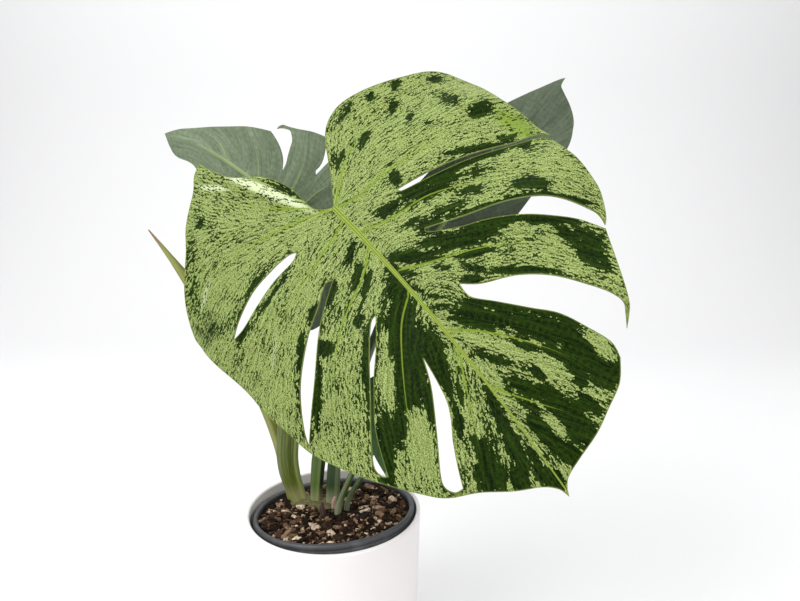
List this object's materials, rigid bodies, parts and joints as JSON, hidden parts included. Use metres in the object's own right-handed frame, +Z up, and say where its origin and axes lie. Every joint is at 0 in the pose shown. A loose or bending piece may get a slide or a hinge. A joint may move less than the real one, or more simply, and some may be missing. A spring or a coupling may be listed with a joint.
{
  "type": "potted monstera plant",
  "caption": "Potted monstera with one large marbled split leaf, plain leaves behind it and a rolled new leaf, in a nursery pot inside a white glazed planter.",
  "frame": {"origin": "centre of the planter's underside", "axes": "+Z up; the largest leaf and its tip face -Y"},
  "size_m": [0.412, 0.2474, 0.5544],
  "materials": {
    "white_glaze": "satin glaze",
    "black_plastic": "matte",
    "potting_mix": "rough bark chips",
    "stem_crown": "matte",
    "marbled_leaf": "waxy, marbled mint over dark green",
    "green_leaf": "matte grey green underside",
    "leaf_stalk": "smooth, striped green",
    "young_leaf": "smooth, yellow green",
    "dry_sheath": "dry and papery"
  },
  "bodies": {
    "root": {"planter": "white_glaze", "nursery_pot": "black_plastic", "potting_mix": "potting_mix", "stem_crown": "stem_crown", "blade_front": "marbled_leaf", "blade_left": "green_leaf", "blade_right": "green_leaf", "blade_low_front": "green_leaf", "blade_low_back": "green_leaf", "petiole_front": "leaf_stalk", "petiole_left": "leaf_stalk", "petiole_right": "leaf_stalk", "petiole_low_front": "leaf_stalk", "petiole_low_back": "leaf_stalk", "spear_leaf": "young_leaf", "sheath_stub_brown": "dry_sheath", "sheath_stub_tan": "dry_sheath"}
  },
  "joints": []
}
